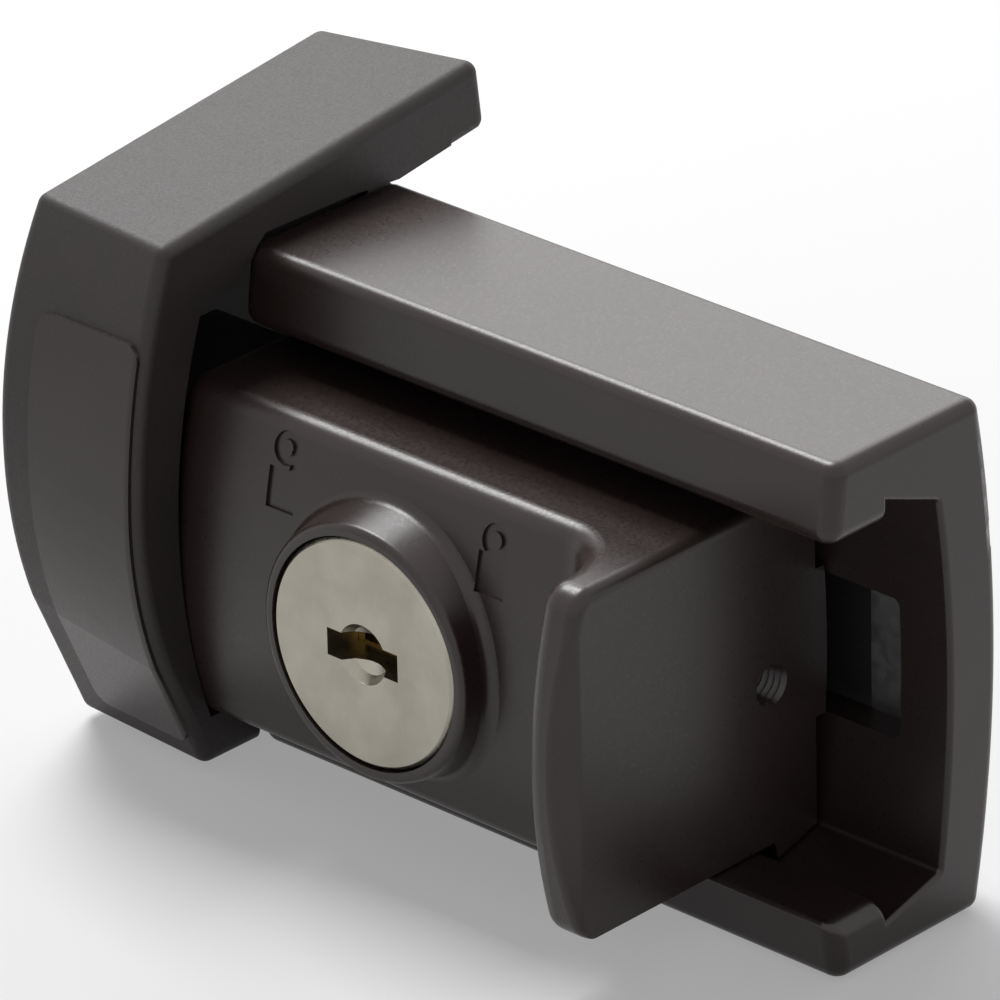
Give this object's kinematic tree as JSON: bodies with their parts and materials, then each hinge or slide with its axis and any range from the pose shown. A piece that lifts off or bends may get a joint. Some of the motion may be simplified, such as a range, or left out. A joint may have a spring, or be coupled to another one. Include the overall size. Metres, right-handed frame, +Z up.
{
  "type": "sliding window lock",
  "caption": "Surface-mounted window lock: a keyed bolt slides sideways by a finger lip from a C-shaped body into a hooked strike.",
  "frame": {"origin": "middle of the lock body's mounting plane, on the rear face of its gasket", "axes": "+Y into the sash, +Z up, +X towards the finger lip's end of the body"},
  "size_m": [0.0869, 0.0501, 0.0583],
  "materials": {
    "powder_coat": "satin, fine texture",
    "coated_plastic": "satin",
    "nickel": "satin nickel",
    "zinc_steel": "zinc plated",
    "bare_steel": "bare",
    "brass": "machined",
    "rubber": "matt"
  },
  "bodies": {
    "body": {"lock_body": "powder_coat", "base_plate": "zinc_steel", "mounting_gasket": "rubber", "base_plate_screws": "zinc_steel", "strike_housing": "powder_coat", "strike_cover_cap": "coated_plastic", "strike_base_plate": "zinc_steel", "strike_gasket": "rubber", "strike_plate_screws": "zinc_steel"},
    "bolt": {"bolt_slider": "powder_coat", "slider_back_plate": "powder_coat", "back_plate_screws": "zinc_steel", "travel_stop": "bare_steel", "travel_stop_spring": "bare_steel", "cylinder_housing": "brass", "turn_stop_pin": "bare_steel", "cylinder_grub_screw": "bare_steel"},
    "plug": {"cylinder_plug": "nickel", "wafer_tumblers": "brass", "wafer_springs": "bare_steel", "locking_cam": "zinc_steel", "cam_screw": "zinc_steel"}
  },
  "joints": [
    {"name": "bolt_slide", "type": "slide", "parent": "body", "child": "bolt", "axis": [1, 0, 0], "range_m": [0, 0.0142]},
    {"name": "plug_turn", "type": "hinge", "parent": "bolt", "child": "plug", "pos_m": [-0.0094, -0.0348, -0.00225], "axis": [0, 1, 0], "range_deg": [0, 90]}
  ]
}
